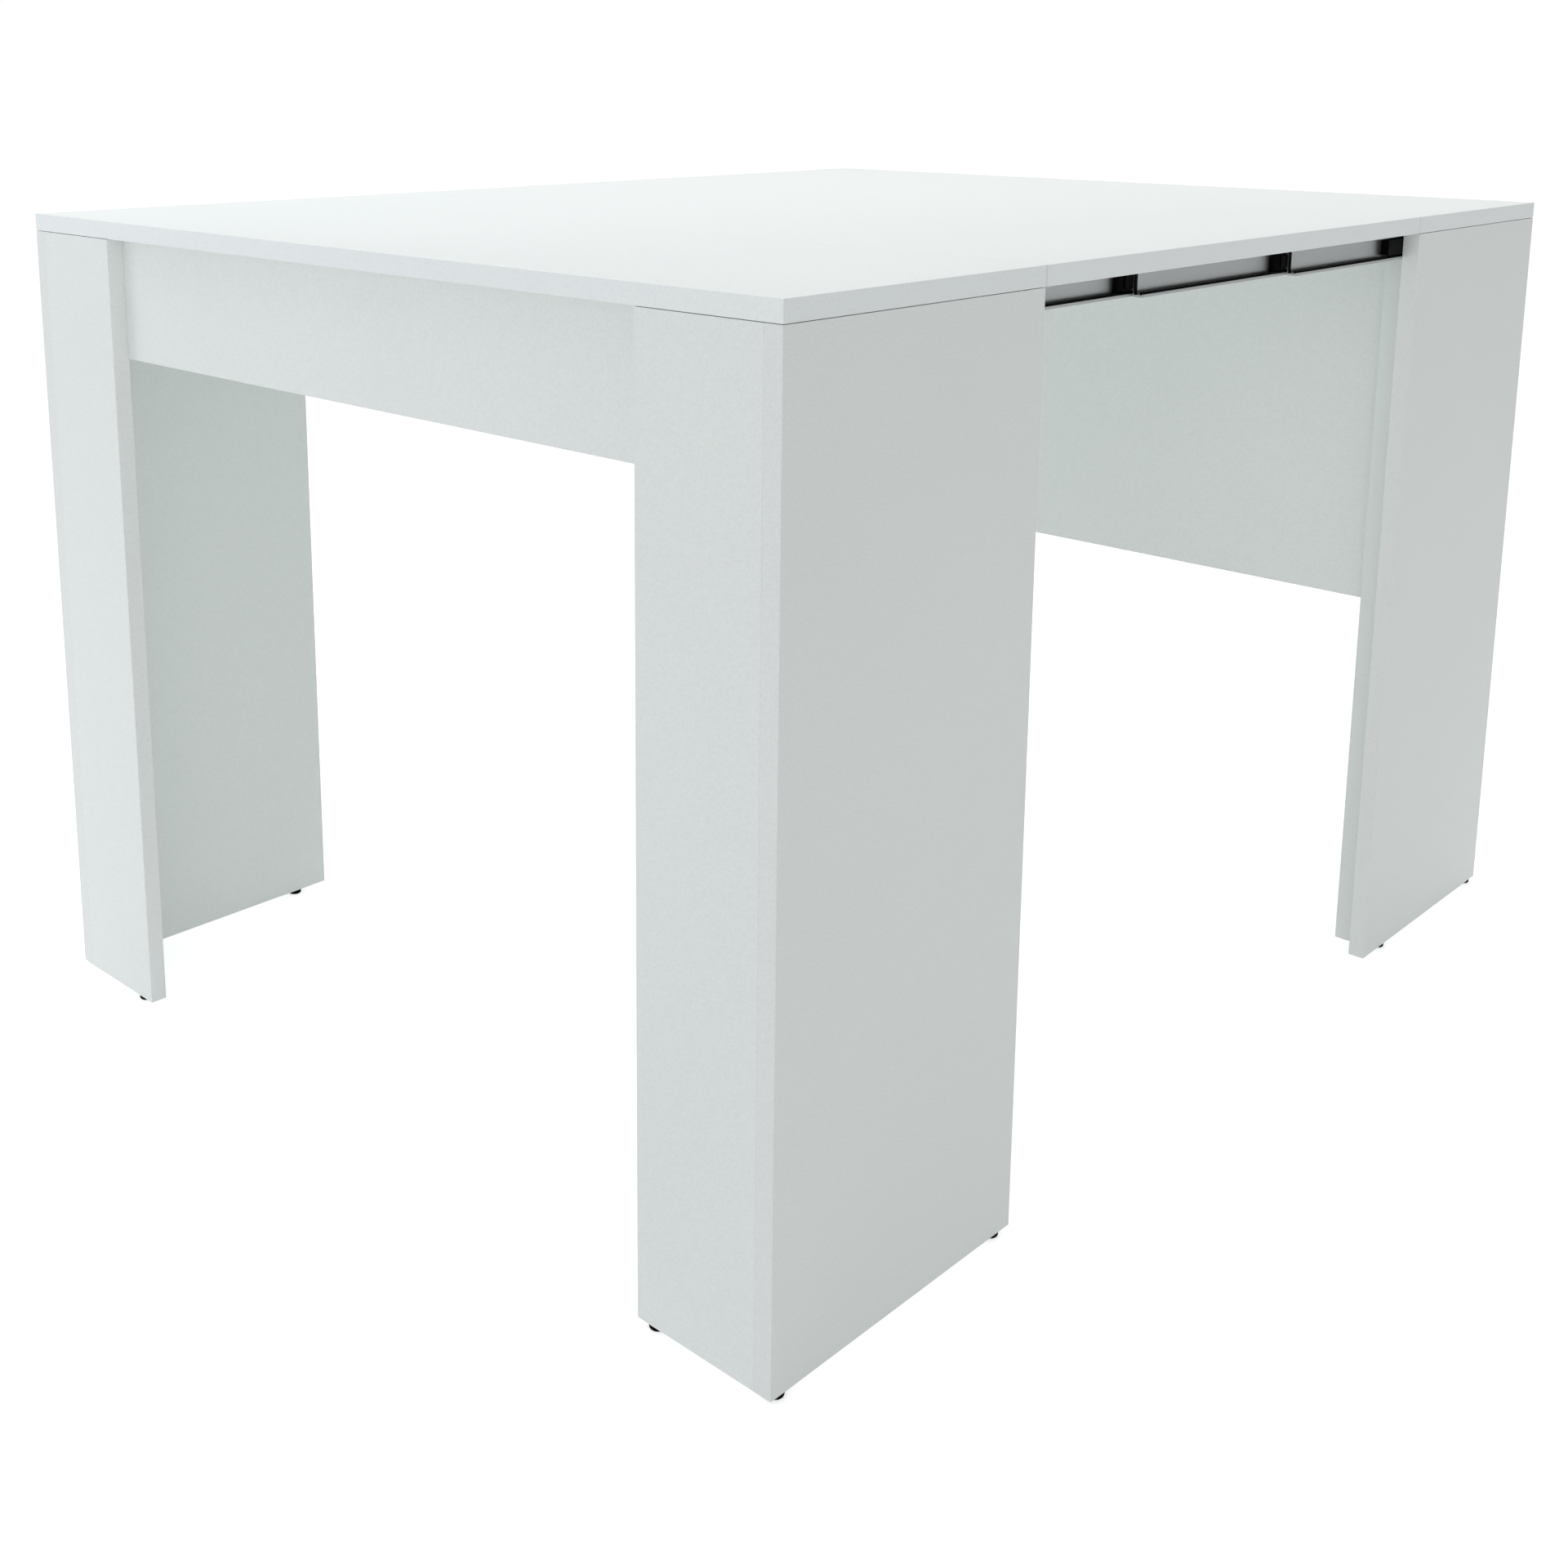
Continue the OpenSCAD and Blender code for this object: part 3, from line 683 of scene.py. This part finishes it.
# Soft boxes: name, size, place and aim in m, colour, watts
SOFT_BOXES = [
    ("front_left", 1.6, (-2.2, -2.6, 1.4), (0, 0, 0.45), "#F5FAFF", 10.2),
    ("back_left", 1.6, (-1.6, 1.4, 2.6), (0, 0, 0.45), "#FFFFFF", 4.6),
    ("over_left", 1.2, (-1.2, -0.9, 2.2), (-0.3, -0.3, 0.7), "#F5FAFF", 14.2),
    ("over_far", 1.2, (0.2, 1.0, 2.6), (0, 0.2, 0.7), "#FFFFFF", 11.4),
]


def put(obj):
    bpy.context.scene.collection.objects.link(obj)
    return obj


def light():
    """An even white sky, broad soft suns, and soft boxes over and left of the table."""
    world = bpy.data.worlds.new("studio")
    bpy.context.scene.world = world
    world.use_nodes = True
    tree = world.node_tree
    sky = tree.nodes["Background"]
    sky.inputs["Color"].default_value = (1, 1, 1, 1)
    seen = add(tree, "LightPath").outputs["Is Camera Ray"]
    tree.links.new(between(tree, seen, *SKY).outputs[0], sky.inputs["Strength"])
    for name, azimuth, height, spread, strength in SUNS:
        sun = bpy.data.lights.new("sun_" + name, "SUN")
        sun.angle, sun.energy = math.radians(spread), strength
        a, e = math.radians(azimuth), math.radians(height)
        put(bpy.data.objects.new(sun.name, sun)).rotation_euler = (math.pi / 2 - e, 0, a)
    for name, size, place, target, colour, watts in SOFT_BOXES:
        box = bpy.data.lights.new("box_" + name, "AREA")
        box.size, box.energy, box.color = size, watts, linear(colour)[:3]
        obj = put(bpy.data.objects.new(box.name, box))
        obj.location = place
        toward = Vector(place) - Vector(target)
        obj.rotation_euler = toward.to_track_quat("Z", "Y").to_euler()
        obj.visible_camera = False


# Camera solved from the photograph's straight edges, with a smaller shift: focal length and
# principal point in pixels of a 1920-pixel frame, place in mm, turn in radians
FOCAL, CENTRE_X, CENTRE_Y, FRAME_PX = 2306.3, 860.0, 552.0, 1920.0
EYE = (1168.0, -1391.3, 864.3)
YAW, PITCH, ROLL = 0.7636, -0.2009, 0.0032


def camera():
    data = bpy.data.cameras.new("camera")
    data.sensor_width = 36.0
    data.lens = FOCAL / FRAME_PX * data.sensor_width
    data.shift_x = (FRAME_PX / 2 - CENTRE_X) / FRAME_PX
    data.shift_y = (CENTRE_Y - FRAME_PX / 2) / FRAME_PX
    data.clip_start, data.clip_end = 0.01, 100
    obj = bpy.data.objects.new("camera", data)
    obj.location = [c * MM for c in EYE]
    turn = Euler((math.pi / 2 + PITCH, 0, YAW)).to_matrix() @ Matrix.Rotation(ROLL, 3, "Z")
    obj.rotation_euler = turn.to_euler()
    bpy.context.scene.collection.objects.link(obj)
    bpy.context.scene.camera = obj


studio_floor()
light()
camera()
bpy.context.scene.view_settings.view_transform = "Standard"
